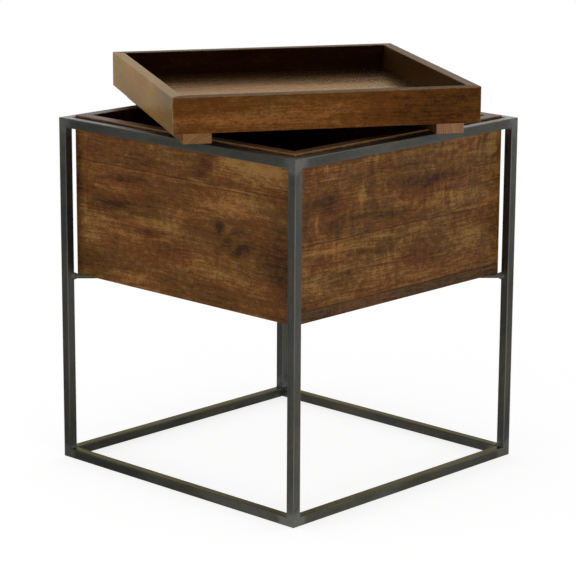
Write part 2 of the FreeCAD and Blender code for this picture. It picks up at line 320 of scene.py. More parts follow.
class ScrewSettings(bpy.types.PropertyGroup):
    """Sizes of the screws"""

    hexagon: scene_length("Hexagon", "Width of a fixing screw's head across its flats", 0.0070)
    hexagon_height: scene_length("Hexagon height", "Height of a fixing screw's head", 0.0028)
    fixing_length: scene_length("Fixing length", "Length of a fixing screw under its head", 0.0110)
    sunk_head: scene_length("Sunk head", "Width of a batten screw's head", 0.0080)
    batten_length: scene_length("Batten screw length", "Length of a batten screw", 0.0300)
    shank: scene_length("Shank", "Diameter of the shanks", 0.0040)


class StudioSettings(bpy.types.PropertyGroup):
    """Floor, lamps and camera"""

    floor_reach: scene_length("Floor", "Half the width of the floor", 24.0)
    floor: scene_colour("Floor colour", "Colour of the floor", (0.80, 0.80, 0.80))
    ambient: scene_share("Ambient", "Light from the room all round", 0.25)
    backdrop: scene_number("Backdrop", "Light from the low screen behind", 1.3)
    right: scene_power("Right", "Power of the lamp on the right", 55.0)
    left: scene_power("Left", "Power of the lamp on the left", 48.0)
    lens: scene_number("Lens", "Focal length of the camera", 154.335, low=1.0, unit="CAMERA")


class Wiring:
    """Adds nodes to one tree.

    Each input may be a value or the output of another node, and a colour is given by three values.
    """

    def __init__(self, tree):
        self.tree = tree

    def feed(self, sockets, values):
        """Feeds sockets, by their names or numbers."""
        for name, value in values.items():
            socket = sockets[name]
            if isinstance(value, bpy.types.NodeSocket):
                self.tree.links.new(value, socket)
            else:
                socket.default_value = (*value, 1) if socket.type == "RGBA" else value

    def add(self, kind, inputs=None, **settings):
        node = self.tree.nodes.new("ShaderNode" + kind)
        for name, value in settings.items():
            setattr(node, name, value)
        self.feed(node.inputs, inputs or {})
        return node

    def group(self, name, make, **inputs):
        """The outputs of a shared node group, which is made the first time that it is asked for."""
        return self.add("Group", inputs, node_tree=bpy.data.node_groups.get(name) or make()).outputs

    def arithmetic(self, operation, first, second=0.0):
        return self.add("Math", {0: first, 1: second}, operation=operation).outputs[0]

    plus = partialmethod(arithmetic, "ADD")
    minus = partialmethod(arithmetic, "SUBTRACT")
    times = partialmethod(arithmetic, "MULTIPLY")
    lesser = partialmethod(arithmetic, "MINIMUM")
    greater = partialmethod(arithmetic, "MAXIMUM")
    size = partialmethod(arithmetic, "ABSOLUTE")

    def vector(self, operation, first, second=(0, 0, 0), output="Vector"):
        return self.add("VectorMath", {0: first, 1: second}, operation=operation).outputs[output]

    def dot(self, first, second):
        return self.vector("DOT_PRODUCT", first, second, "Value")

    def join(self, x, y, z=0.0):
        return self.add("CombineXYZ", {"X": x, "Y": y, "Z": z}).outputs[0]

    def split(self, vector):
        return self.add("SeparateXYZ", {0: vector}).outputs

    def length(self, x, y, z=0.0):
        return self.vector("LENGTH", self.join(x, y, z), output="Value")

    def total(self, values):
        return reduce(self.plus, values)

    def weighted(self, *pairs):
        """A sum of values, each times its weight; a single value counts as it is."""
        return self.total([self.times(*pair) if isinstance(pair, tuple) else pair for pair in pairs])

    def noise(self, place, along, across, detail=2.0, roughness=0.5):
        """Noise about zero, from -0.5 to 0.5, with so many waves per metre along X and across it."""
        stretched = self.vector("MULTIPLY", place, (along, across, across))
        inputs = {"Vector": stretched, "Scale": 1.0, "Detail": detail, "Roughness": roughness}
        return self.minus(self.add("TexNoise", inputs).outputs["Fac"], 0.5)

    def fade(self, value, start, end, low=0.0, high=1.0):
        """A smooth step, from low at start to high at end."""
        inputs = {"Value": value, "From Min": start, "From Max": end, "To Min": low, "To Max": high}
        return self.add("MapRange", inputs, interpolation_type="SMOOTHSTEP").outputs[0]

    def mix(self, share, first, second, blend="MIX"):
        """A mix of two colours."""
        inputs = {0: share, 6: first, 7: second}
        return self.add("Mix", inputs, data_type="RGBA", blend_type=blend).outputs[2]

    def tint(self, colour, by):
        """A colour times another."""
        return self.mix(1.0, colour, by, "MULTIPLY")

    def light(self, kind, strength):
        """White light of some strength, from an emission or a background."""
        return self.add(kind, {"Color": (1, 1, 1), "Strength": strength}).outputs[0]

    def either(self, share, first, second):
        """A mix of two shaders."""
        return self.add("MixShader", {0: share, 1: first, 2: second}).outputs[0]


def new_group(name, inputs, outputs):
    """An empty node group, its wiring, and the sockets of its entry and exit, which are listed by kind."""
    tree = bpy.data.node_groups.new(name, "ShaderNodeTree")
    for way, kinds in (("INPUT", inputs), ("OUTPUT", outputs)):
        for kind, sockets in kinds.items():
            for socket in sockets:
                tree.interface.new_socket(socket, in_out=way, socket_type="NodeSocket" + kind)
    entry = tree.nodes.new("NodeGroupInput").outputs
    outlet = tree.nodes.new("NodeGroupOutput").inputs
    return tree, Wiring(tree), entry, outlet


def soft_spot_group():
    """Node group: how near a place is to a spot's centre, and the push of the grain away from it."""
    tree, w, entry, outlet = new_group(
        "Soft spot", {"Vector": ("Place", "Centre", "Spread"), "Float": ("Turn",)}, {"Float": ("Near", "Push")}
    )
    offset = w.vector("SUBTRACT", entry["Place"], entry["Centre"])
    inputs = {"Vector": offset, "Angle": entry["Turn"], "Axis": (0, 0, 1)}
    along = w.add("VectorRotate", inputs, rotation_type="AXIS_ANGLE").outputs[0]
    axes = w.split(w.vector("MULTIPLY", along, entry["Spread"]))
    near = w.fade(w.length(axes["X"], axes["Y"]), 1.25, 0.1)
    w.feed(outlet, {"Near": near, "Push": w.times(w.split(offset)["Y"], near)})
    return tree


def stained_grain_group():
    """Node group: colour, roughness and relief of stained wood, by a place in the board.

    X runs along the grain, Y across the face and Z into the board, in metres.
    """
    tree, w, entry, outlet = new_group(
        "Stained grain",
        {
            "Vector": ("Place", "Seed"),
            "Float": ("Tone", "Swell", "Curl", "Figure"),
            "Color": ("Dark", "Middle", "Golden"),
        },
        {"Color": ("Colour",), "Float": ("Roughness", "Relief")},
    )
    place = w.vector("ADD", entry["Place"], entry["Seed"])
    sway = w.times(w.noise(place, 2.6, 7.0, 2.0), 0.036)
    waver = w.times(w.noise(place, 16.0, 42.0, 2.0), 0.006)
    axes = w.split(place)
    across = w.total([axes["Y"], sway, waver, entry["Swell"]])
    flow = w.join(axes["X"], across, axes["Z"])

    heart = w.plus(w.times(axes["X"], 0.10), 0.045)
    ring_radius = w.length(w.minus(across, 0.11), w.plus(axes["Z"], heart))
    rings = w.noise(w.join(ring_radius, axes["X"]), 170.0, 2.0, 3.0, 0.6)
    patches = w.noise(flow, 8.0, 20.0, 3.0, 0.55)
    streaks = w.noise(flow, 6.0, 75.0, 4.0, 0.62)
    fibres = w.noise(flow, 20.0, 460.0, 3.0, 0.65)
    mottle = w.noise(flow, 90.0, 130.0, 3.0, 0.6)
    flecks = w.noise(flow, 280.0, 420.0, 2.0, 0.6)
    leaning = w.times(w.noise(place, 14.0, 26.0, 2.0), 0.030)
    curl = w.noise(w.join(w.plus(axes["X"], leaning), across, axes["Z"]), 95.0, 24.0, 3.0, 0.6)
    curl_area = w.fade(w.noise(place, 11.0, 14.0, 1.0), 0.04, 0.16, 0.10, 0.6)
    curl_share = w.plus(curl_area, entry["Curl"])

    figure = w.weighted(
        (patches, 0.76),
        (streaks, 0.30),
        (rings, 0.30),
        (fibres, 0.80),
        (mottle, 0.66),
        (flecks, 0.60),
        (curl, w.times(curl_share, 0.62)),
    )
    tone = w.weighted((figure, entry["Figure"]), entry["Tone"], 0.5)
    darker = w.mix(w.fade(tone, 0.0, 0.52), entry["Dark"], entry["Middle"])
    colour = w.mix(w.fade(tone, 0.45, 1.05), darker, entry["Golden"])
    warmth = w.fade(w.noise(place, 9.0, 22.0, 2.0), -0.14, 0.14)
    colour = w.tint(colour, w.mix(warmth, (0.95, 1.03, 0.98), (1.07, 0.97, 0.90)))
    pores = w.fade(w.noise(flow, 210.0, 1500.0, 1.0), 0.15, 0.24)
    colour = w.mix(w.times(pores, 0.55), colour, entry["Dark"])
    roughness = w.weighted((streaks, 0.16), (pores, 0.16), 0.36)
    relief = w.weighted((fibres, 0.5), (streaks, 0.5), (pores, -0.6))
    w.feed(outlet, {"Colour": colour, "Roughness": roughness, "Relief": relief})
    return tree


def arris_and_shade_group():
    """Node group: worn arrises, and the inside of an open-topped shell that stands on z = 0, centred, as a mask
    for painted shade.
    """
    tree, w, entry, outlet = new_group(
        "Shell arrises and inside shade",
        {"Vector": ("Place",), "Float": ("Outer", "Inner", "Top", "Width")},
        {"Float": ("Worn", "Inside")},
    )
    axes = w.split(entry["Place"])
    x_size, y_size = w.size(axes["X"]), w.size(axes["Y"])
    further = w.greater(x_size, y_size)
    to_outer = w.minus(further, entry["Outer"])
    to_inner = w.minus(further, entry["Inner"])
    to_side = w.minus(w.lesser(x_size, y_size), entry["Outer"])
    to_top = w.minus(axes["Z"], entry["Top"])
    nearest = w.lesser(w.length(to_outer, to_top), w.length(to_inner, to_top))
    nearest = w.lesser(nearest, w.length(to_outer, to_side))
    patchy = w.noise(entry["Place"], 55.0, 55.0, 3.0, 0.6)
    width = w.times(entry["Width"], w.plus(w.times(patchy, 2.6), 0.9))
    worn = w.fade(w.minus(nearest, width), 0.0009, -0.0009)
    # The inside mask marks the inner faces, where shade is painted
    w.feed(outlet, {"Worn": worn, "Inside": w.fade(to_inner, 0.0007, 0.0003)})
    return tree


def blackened_steel_group():
    """Node group: colour, roughness and relief of blackened tube; X runs along the tube."""
    tree, w, entry, outlet = new_group(
        "Blackened steel",
        {"Vector": ("Place",), "Float": ("Ground",), "Color": ("Dark", "Light", "Bare")},
        {"Color": ("Colour",), "Float": ("Roughness", "Relief")},
    )
    place = entry["Place"]
    clouds = w.noise(place, 9.0, 28.0, 4.0, 0.6)
    mottle = w.noise(place, 140.0, 190.0, 3.0, 0.6)
    drawn = w.noise(place, 9.0, 620.0, 3.0, 0.6)
    specks = w.fade(w.noise(place, 420.0, 420.0, 2.0), 0.15, 0.24)
    tone = w.weighted(clouds, (mottle, 0.45), (drawn, 0.45), 0.5)
    colour = w.mix(w.fade(tone, 0.05, 0.95), entry["Dark"], entry["Light"])
    cool = w.fade(w.noise(place, 12.0, 20.0, 2.0), -0.1, 0.12)
    colour = w.tint(colour, w.mix(cool, (1.05, 1.0, 0.90), (0.94, 1.0, 1.05)))
    # Ground steel near the corners, and along the arrises partly worn bare steel and partly a painted highlight
    colour = w.mix(entry["Ground"], colour, entry["Bare"])
    colour = w.mix(w.times(specks, 0.5), colour, entry["Dark"])
    roughness = w.weighted((mottle, 0.22), (drawn, 0.14), (entry["Ground"], -0.06), 0.42)
    relief = w.weighted((drawn, 0.5), (mottle, 0.5), (specks, -0.3))
    w.feed(outlet, {"Colour": colour, "Roughness": roughness, "Relief": relief})
    return tree


def emptied(owner):
    """The wiring of a material or a world that has lost its first nodes."""
    owner.use_nodes = True
    owner.node_tree.nodes.clear()
    return Wiring(owner.node_tree)


def new_material(name):
    """A material with a shader and its output, its wiring, and the shader's sockets."""
    material = bpy.data.materials.new(name)
    w = emptied(material)
    shader = w.add("BsdfPrincipled")
    w.add("OutputMaterial", {"Surface": shader.outputs[0]})
    return material, w, shader.inputs


def scaled(values, factor):
    """Each value times a factor."""
    return [factor * value for value in values]


def object_place(w, rotation, location=(0, 0, 0)):
    """The object's own coordinates, turned and then shifted."""
    coordinates = w.add("TexCoord").outputs["Object"]
    inputs = {"Vector": coordinates, "Rotation": rotation.to_euler(), "Location": location}
    return w.add("Mapping", inputs, vector_type="POINT").outputs[0]


def upright_board(angle):
    """Turn that lays a wall's length along X and its height along Y, its outer face to +Z."""
    return Matrix.Rotation(-math.pi / 2, 3, "X") @ Matrix.Rotation(-angle, 3, "Z")


def flat_board(angle):
    """Turn that lays a level board's length along X."""
    return Matrix.Rotation(-angle, 3, "Z")


def spotted(w, place, spots, tone, curl):
    """Tone, swell and curl of a board after its soft spots, as inputs of its grain."""
    tones, swells, curls = [tone], [0.0], [curl]
    for spot in spots:
        near, push = w.group(
            "Soft spot", soft_spot_group, Place=place, Centre=(spot.along * MM, spot.height * MM, 0),
            Spread=(1 / (spot.half_length * MM), 1 / (spot.half_height * MM), 0), Turn=math.radians(spot.turn),
        )
        parts = ((spot.tone, near, tones), (-spot.swell, push, swells), (spot.curl, near, curls))
        for weight, output, found in parts:
            if weight:
                found.append(w.times(output, weight))
    return {"Tone": w.total(tones), "Swell": w.total(swells), "Curl": w.total(curls)}


def rubbed_and_shaded_shell(w, colour, shell, stain):
    """A board's colour with worn arrises and painted shade darkening its inside."""
    angle, base, outer, wall, height = shell
    worn, inside = w.group(
        "Shell arrises and inside shade", arris_and_shade_group, Place=object_place(w, flat_board(angle), (0, 0, -base)),
        Outer=outer, Inner=outer - wall, Top=height, Width=stain.wear,
    )
    # Painted shade: the inner faces of the box and the tray are darkened by the inside tint
    colour = w.mix(inside, colour, w.tint(colour, stain.inside))
    return w.mix(w.times(worn, ARRIS_WEAR), colour, stain.worn)


def sawn_ends(w, place, colour, tint, stain):
    """A batten's colour with its sawn ends, where the rings show."""
    axes = w.split(place)
    ends = w.fade(w.size(axes["X"]), *(BATTEN_HALF_LENGTH - depth for depth in SURFACE_DEPTHS))
    ring = w.length(w.plus(axes["Y"], 0.16), w.minus(axes["Z"], BATTEN_BASE - 0.05))
    rings = w.noise(w.join(ring, axes["X"]), 430.0, 4.0, 3.0, 0.6)
    speckle = w.noise(place, 200.0, 900.0, 3.0)
    sawn_tone = w.fade(w.weighted((rings, 1.1), (speckle, 0.6)), -0.3, 0.3)
    sawn = w.mix(sawn_tone, scaled(stain.end, 0.5), scaled(stain.end, 1.5))
    return w.mix(w.times(ends, 0.9), colour, w.tint(sawn, tint))


def stained_wood(
    name, rotation, base, seed, tone=0.0, curl=0.0, spots=(), shell=None, end=None, finish=BOX_FINISH, tint=None
):
    """Material of one board: its grain turned and set on its base, with its own spots, finish and tint; on the
    tray some spots and tints are painted light.

    A shell gives the box or the tray that the board belongs to: its turn, base, half width, wall and height, for
    its worn arrises and the painted shade on its inside. An end gives the tint of a batten's sawn ends.
    """
    stain = bpy.context.scene.end_table_stain
    material, w, shader = new_material(name)
    place = object_place(w, rotation, base)
    grain = w.group(
        "Stained grain", stained_grain_group, Place=place, Seed=seed, Figure=finish.figure,
        Dark=stain.dark, Middle=stain.middle, Golden=stain.golden, **spotted(w, place, spots, tone, curl),
    )
    colour = grain["Colour"]
    if tint:
        colour = w.tint(colour, tint)
    if shell:
        colour = rubbed_and_shaded_shell(w, colour, shell, stain)
    if end:
        colour = sawn_ends(w, place, colour, end, stain)
    bump = w.add("Bump", {"Height": grain["Relief"], "Distance": GRAIN_DEPTH, "Strength": finish.relief})
    w.feed(shader, {"Base Color": colour, "Roughness": w.minus(grain["Roughness"], finish.smoother)})
    w.feed(shader, {"Specular IOR Level": stain.gloss * finish.gloss, "Normal": bump.outputs[0]})
    w.feed(shader, {"Sheen Weight": finish.sheen, "Sheen Roughness": 0.4, "Sheen Tint": stain.sheen})
    if finish.lustre:
        w.feed(shader, {"Metallic": finish.lustre, "Specular Tint": stain.lustre})
    return material


def bare_and_highlit_steel(w, place, coordinates, section):
    """How bare a tube is: ground back round the frame's corners, and pale in patches along its arrises, partly
    worn bare and partly a painted highlight.
    """
    middle = FRAME_TOP / 2
    side = FRAME_HALF - TUBE / 2
    off = {
        "X": w.minus(w.size(coordinates["X"]), side),
        "Y": w.minus(w.size(coordinates["Y"]), side),
        "Z": w.minus(w.size(w.minus(coordinates["Z"], middle)), middle - TUBE / 2),
    }
    uneven = w.noise(place, 60.0, 60.0, 3.0)
    reach = w.plus(w.length(off["X"], off["Y"], off["Z"]), w.times(uneven, 0.05))
    near_corner = w.fade(reach, *GROUND_REACH, 0.0, 0.38)
    arris = w.fade(w.lesser(*(w.size(off[axis]) for axis in section)), *ARRIS_BAND)
    # Pale patches along the arris: partly worn bare, partly a painted highlight
    rubbed_and_highlit = w.fade(w.noise(place, 6.0, 40.0, 3.0), -0.20, 0.20, 0.10, 0.50)
    return w.greater(near_corner, w.times(arris, rubbed_and_highlit))


def steel_finish(name, rotation, section=None, upper_shade=None):
    """Material of tubes or bars that run along one direction.

    A tube's section names the two axes across it. An upper shade is the tint of the painted shade on the lower
    rails' upper faces, and of what is reflected at a low angle.
    """
    steel = bpy.context.scene.end_table_steel
    material, w, shader = new_material(name)
    coordinates = w.split(w.add("TexCoord").outputs["Object"])
    place = object_place(w, rotation)
    patina = w.group(
        "Blackened steel", blackened_steel_group, Place=place,
        Ground=bare_and_highlit_steel(w, place, coordinates, section) if section else 0.0,
        Dark=steel.dark, Light=steel.light, Bare=steel.ground,
    )
    colour = patina["Colour"]
    if upper_shade:
        # Painted shade: the upper faces of the lower rails are darkened by the tint
        upper_shade_mask = w.fade(coordinates["Z"], *(TUBE - depth for depth in SURFACE_DEPTHS))
        colour = w.mix(upper_shade_mask, colour, w.tint(colour, upper_shade))
        w.feed(shader, {"Specular Tint": upper_shade})
    bump = w.add("Bump", {"Height": patina["Relief"], "Distance": PATINA_DEPTH, "Strength": 0.5})
    w.feed(shader, {"Base Color": colour, "Roughness": patina["Roughness"], "Metallic": steel.metal})
    w.feed(shader, {"Normal": bump.outputs[0]})
    return material


def bare_metal(name, colour, roughness, grain, relief):
    """Material of weld metal or plating: mottled, with a fine relief."""
    material, w, shader = new_material(name)
    place = w.add("TexCoord").outputs["Object"]
    clouds = w.noise(place, grain * 0.25, grain * 0.25, 3.0)
    specks = w.noise(place, grain, grain, 3.0)
    shade = w.fade(w.weighted(clouds, (specks, 0.6)), -0.25, 0.25)
    bump = w.add("Bump", {"Height": specks, "Distance": relief, "Strength": 0.7})
    mottled = w.mix(shade, scaled(colour, 0.5), scaled(colour, 1.3))
    w.feed(shader, {"Base Color": mottled, "Roughness": w.weighted((specks, 0.25), roughness), "Metallic": 0.9})
    w.feed(shader, {"Normal": bump.outputs[0]})
    return material


def dress(names, material):
    """Gives CAD nodes one material."""
    for name in names:
        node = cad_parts[name]
        if not node.material_slots:
            node.data.materials.append(material)
        for slot in node.material_slots:
            slot.material = material


def closed_mesh(bm):
    """Merges doubles and turns every face outwards."""
    bmesh.ops.remove_doubles(bm, verts=bm.verts, dist=1e-7)
    bmesh.ops.recalc_face_normals(bm, faces=bm.faces)


def in_scene(name, data):
    """An object in the scene, from its data."""
    made = bpy.data.objects.new(name, data)
    bpy.context.scene.collection.objects.link(made)
    return made


def new_object(name, bm):
    """An object in the scene, from a mesh in the making."""
    mesh = bpy.data.meshes.new(name)
    bm.to_mesh(mesh)
    bm.free()
    return in_scene(name, mesh)


def combined(piece, other, operation):
    """The first object's mesh cut by, joined to or kept within the second, which is used up."""
    modifier = piece.modifiers.new("Cut", "BOOLEAN")
    modifier.operation = operation
    modifier.solver = "EXACT"
    modifier.object = other
    bpy.context.view_layer.update()
    depsgraph = bpy.context.evaluated_depsgraph_get()
    mesh = bpy.data.meshes.new_from_object(piece.evaluated_get(depsgraph))
    piece.modifiers.clear()
    piece.data = mesh
    bpy.data.objects.remove(other)
    return piece


def finished(piece, material, body, node, smooth_below=40):
    """Gives a new piece its material and ride, and hides the CAD node that it stands for."""
    bm = bmesh.new()
    bm.from_mesh(piece.data)
    closed_mesh(bm)
    for face in bm.faces:
        face.smooth = True
        face.material_index = 0
    for edge in bm.edges:
        edge.smooth = len(edge.link_faces) == 2 and edge.calc_face_angle(0.0) < math.radians(smooth_below)
    bm.to_mesh(piece.data)
    bm.free()
    piece.data.materials.clear()
    piece.data.materials.append(material)
    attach(piece, body)
    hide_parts(node)


def raised(height):
    """A shift upwards."""
    return Matrix.Translation((0, 0, height))


def turned(angle):
    """A turn about the upright axis."""
    return Matrix.Rotation(angle, 4, "Z")


def block(size, place):
    """The mesh of a block about its place."""
    bm = bmesh.new()
    bmesh.ops.create_cube(bm, size=1.0, matrix=place @ Matrix.Diagonal((*size, 1)))
    return bm


def revolved(points, closed, axis, steps):
    """The mesh that a line of points makes in a full turn about an axis."""
    bm = bmesh.new()
    verts = [bm.verts.new(point) for point in points]
    edges = [bm.edges.new(pair) for pair in zip(verts, verts[1:] + verts[:1] * closed)]
    bmesh.ops.spin(
        bm, geom=verts + edges, cent=(0, 0, 0), axis=axis, dvec=(0, 0, 0), angle=math.tau, steps=steps,
        use_merge=True, use_duplicate=False,
    )
    closed_mesh(bm)
    return bm


def gather(whole, part, place):
    """Adds a part, put in its place, to a mesh in the making."""
    bmesh.ops.transform(part, matrix=place, verts=part.verts)
    mesh = bpy.data.meshes.new("part")
    part.to_mesh(mesh)
    part.free()
    whole.from_mesh(mesh)
    bpy.data.meshes.remove(mesh)


def leg_column(angle):
    """The outer form of the leg in one direction, a little smaller than the tube."""
    size = TUBE - 0.2 * MM
    distance = math.hypot(FRAME_HALF - TUBE / 2, FRAME_HALF - TUBE / 2)
    middle = (distance * math.cos(angle), distance * math.sin(angle), ROD_HEIGHT)
    bm = block((size, size, CUTTER_LENGTH), Matrix.Translation(middle))
    upright = [e for e in bm.edges if abs(e.verts[0].co.z - e.verts[1].co.z) > CUTTER_LENGTH / 2]
    bmesh.ops.bevel(
        bm, geom=upright, offset=TUBE_CORNER, offset_type="OFFSET", segments=4, profile=0.5,
        affect="EDGES", material=-1,
    )
    return new_object("leg_column", bm)


def cone(name, segments, radius, far_radius, depth, place):
    """A capped cylinder or cone, along Z of its place."""
    bm = bmesh.new()
    bmesh.ops.create_cone(
        bm, cap_ends=True, segments=segments, radius1=radius, radius2=far_radius, depth=depth, matrix=place
    )
    return new_object(name, bm)


def full_rod():
    """The outer form of the full rod, a little thinner than the rod."""
    place = raised(ROD_HEIGHT) @ turned(math.radians(45)) @ Matrix.Rotation(math.pi / 2, 4, "Y")
    radius = ROD_RADIUS - SINK
    return cone("full_rod", 40, radius, radius, CUTTER_LENGTH, place)


def box_space():
    """The space that the welds leave free under and beside the box."""
    size = 2 * (BOX_HALF + BOX_CLEARANCE)
    height = 40 * MM
    place = raised(BOX_BASE - BOX_CLEARANCE + height / 2)
    return new_object("box_space", block((size, size, height), place))


def make_rod_bead(stations, place, lumps):
    """A lumpy ring of weld metal round a rod, from distances along the rod and radii."""
    inner = ROD_RADIUS - SINK
    outline = [(stations[0][0], inner)] + stations + [(stations[-1][0], inner)]
    bm = revolved([(along, 0, radius) for along, radius in outline], True, (1, 0, 0), 30)
    for vert in bm.verts:
        radius = math.hypot(vert.co.y, vert.co.z)
        share = min(max((radius - ROD_RADIUS) / MM, 0.0), 1.0)
        away = Vector((0, vert.co.y, vert.co.z)).normalized()
        spot = place @ vert.co
        lump = noise.noise(spot * LUMP_WAVES) + 0.35 * noise.noise(spot * FINE_WAVES)
        vert.co += away * lumps * share * lump
    bmesh.ops.transform(bm, matrix=place, verts=bm.verts)
    return new_object("bead", bm)


class TABLE_OT_rod_welds(bpy.types.Operator):
    """Make the lumpy beads round the rod ends and where the rods cross"""

    bl_idname = "end_table.rod_welds"
    bl_label = "Rod welds"

    def execute(self, context):
        weld = context.scene.end_table_weld
        wide = ROD_RADIUS + weld.collar
        reach = math.hypot(FRAME_HALF - TUBE, FRAME_HALF - TUBE)
        # Stations of a bead, as distances along the rod and radii: its slope first, then the two whole beads
        slope = [(0.4 * weld.run, 0.90 * wide), (0.8 * weld.run, 0.74 * wide), (weld.run, ROD_RADIUS)]
        at_leg = [(reach + wide, 0.9 * wide), (reach + 0.6 * wide, wide), (reach + MM, wide)]
        at_leg += [(reach - along, radius) for along, radius in slope]
        at_rod = [(0.6 * MM, 0.95 * wide), (ROD_RADIUS, wide)]
        at_rod += [(ROD_RADIUS + along, radius) for along, radius in slope]
        whole = bmesh.new()
        for number, angle in enumerate(LEG_DIRECTIONS):
            place = raised(ROD_HEIGHT) @ turned(angle)
            beads = [combined(make_rod_bead(at_leg, place, weld.lumps), leg_column(angle), "DIFFERENCE")]
            if number % 2:
                beads.append(combined(make_rod_bead(at_rod, place, weld.lumps), full_rod(), "DIFFERENCE"))
            for bead in beads:
                combined(bead, box_space(), "DIFFERENCE")
                whole.from_mesh(bead.data)
                bpy.data.objects.remove(bead)
        piece = new_object("rod_weld_beads", whole)
        colour = context.scene.end_table_steel.weld
        metal = bare_metal("weld_metal", colour, roughness=0.5, grain=900.0, relief=0.4 * MM)
        finished(piece, metal, "table", "rod_welds")
        if max(max(abs(vert.co.x), abs(vert.co.y)) for vert in piece.data.vertices) > FRAME_HALF:
            raise RuntimeError("the weld beads stand out of the frame")
        return {"FINISHED"}


def fillet_bead(leg, ripple):
    """A hollow, rippled fillet along Y in the corner between a wall at x = 0 and a floor at z = 0."""
    width = TUBE - 2 * TUBE_CORNER
    steps = 26
    bm = bmesh.new()
    outline = [bm.verts.new((0, -width / 2, 0))]
    for angle in (math.radians(degrees) for degrees in range(0, 91, 18)):
        outline.append(bm.verts.new((leg * (1 - math.sin(angle)), -width / 2, leg * (1 - math.cos(angle)))))
    edges = [bm.edges.new(pair) for pair in zip(outline, outline[1:] + outline[:1])]
    bmesh.ops.spin(
        bm, geom=outline + edges, cent=(0, 0, 0), axis=(0, 1, 0), dvec=(0, width / steps, 0), angle=0.0,
        steps=steps, use_merge=False, use_duplicate=False,
    )
    bmesh.ops.holes_fill(bm, edges=[e for e in bm.edges if e.is_boundary], sides=0)
    closed_mesh(bm)
    for vert in bm.verts:
        x, y, z = vert.co
        if x < 1e-6 and z < 1e-6:
            continue
        wave = math.sin(y / RIPPLE_LENGTH * math.tau) + 1.4 * noise.noise(vert.co * FILLET_WAVES)
        out = Vector((0.0 if x < 1e-6 else 1.0, 0, 0.0 if z < 1e-6 else 1.0)).normalized()
        vert.co += out * ripple * wave
    return bm


class TABLE_OT_corner_welds(bpy.types.Operator):
    """Make the rippled fillets between the legs and the rails"""

    bl_idname = "end_table.corner_welds"
    bl_label = "Corner welds"

    def execute(self, context):
        weld = context.scene.end_table_weld
        whole = bmesh.new()
        for side in range(4):
            for end, end_turn in ((-1, 0.0), (1, math.pi)):
                for level, up in ((TUBE, 1), (FRAME_TOP - TUBE, -1)):
                    corner = (end * (FRAME_HALF - TUBE), TUBE / 2 - FRAME_HALF, level)
                    place = turned(side * math.pi / 2) @ Matrix.Translation(corner) @ turned(end_turn)
                    gather(whole, fillet_bead(weld.fillet, weld.ripple), place @ Matrix.Diagonal((1, 1, up, 1)))
        piece = new_object("corner_weld_fillets", whole)
        colour = context.scene.end_table_steel.weld
        metal = bare_metal("corner_weld_metal", colour, roughness=0.45, grain=700.0, relief=0.2 * MM)
        finished(piece, metal, "table", "corner_welds")
        return {"FINISHED"}


class TABLE_OT_steel(bpy.types.Operator):
    """Blacken the rails, legs, rods and tabs"""

    bl_idname = "end_table.steel"
    bl_label = "Blackened steel"

    def execute(self, context):
        legs = [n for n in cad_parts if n.startswith("leg_")]
        level = Matrix.Identity(3)
        quarter = Matrix.Rotation(-math.pi / 2, 3, "Z")
        for ring, upper_shade in (("bottom", LOWER_RAIL_UPPER_SHADE), ("top", None)):
            across = [f"{ring}_rail_{side}" for side in ("front", "rear")]
            along = [f"{ring}_rail_{side}" for side in ("left", "right")]
            dress(across, steel_finish(f"{ring}_steel_across", level, "YZ", upper_shade))
            dress(along, steel_finish(f"{ring}_steel_along", quarter, "XZ", upper_shade))
        dress(legs, steel_finish("blackened_steel_upright", Matrix.Rotation(math.pi / 2, 3, "Y"), "XY"))
        dress(["cross_rod_full"], steel_finish("rod_steel_full", Matrix.Rotation(-math.pi / 4, 3, "Z")))
        halves = ["cross_rod_half_front", "cross_rod_half_rear"]
        dress(halves, steel_finish("rod_steel_half", Matrix.Rotation(math.pi / 4, 3, "Z")))
        dress(["box_fixing_tabs"], steel_finish("tab_steel", level))
        return {"FINISHED"}


class TABLE_OT_box(bpy.types.Operator):
    """Stain the storage box"""

    bl_idname = "end_table.box"
    bl_label = "Stained box"

    def execute(self, context):
        shell = (0.0, BOX_BASE, BOX_HALF, BOX_WALL, BOX_TOP - BOX_BASE)
        right_boards = (("strip", -0.16, 0.0), ("lower", 0.10, 0.35), ("upper", 0.03, 0.55))
        walls = (
            ("front", FRONT_FIGURE, BOX_FINISH, (("lower", 0.02, 0.0), ("upper", 0.0, 0.0))),
            ("right", RIGHT_FIGURE, RIGHT_FINISH, right_boards),
            ("rear", (), BOX_FINISH, (("lower", -0.04, 0.1), ("upper", 0.08, 0.2))),
            ("left", (), BOX_FINISH, (("lower", 0.06, 0.1), ("upper", -0.06, 0.2))),
        )
        for number, (side, spots, finish, boards) in enumerate(walls):
            names = [f"box_{side}_{board}_board" for board, _, _ in boards]
            joints = [(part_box(name)[0].z - BOX_BASE) / MM for name in names[1:]]
            spots += tuple(Spot(0, joint, 400, 0.9, 0, -0.30) for joint in joints)
            for level, (name, (board, tone, curl)) in enumerate(zip(names, boards)):
                seed = (1.7 * number + 0.61 * level, 0.37 * level + 0.9 * number, 0.02 * level)
                material = stained_wood(
                    name + "_stain", upright_board(number * math.pi / 2), (0, -BOX_BASE, 0), seed, tone, curl,
                    spots, shell, finish=finish, tint=STRIP_TINT if board == "strip" else None,
                )
                dress([name], material)
        panel = stained_wood("box_panel_stain", flat_board(0.0), (0, 0, 0), (5.3, 2.1, 0.4), -0.1)
        dress(["box_bottom_panel"], panel)
        return {"FINISHED"}


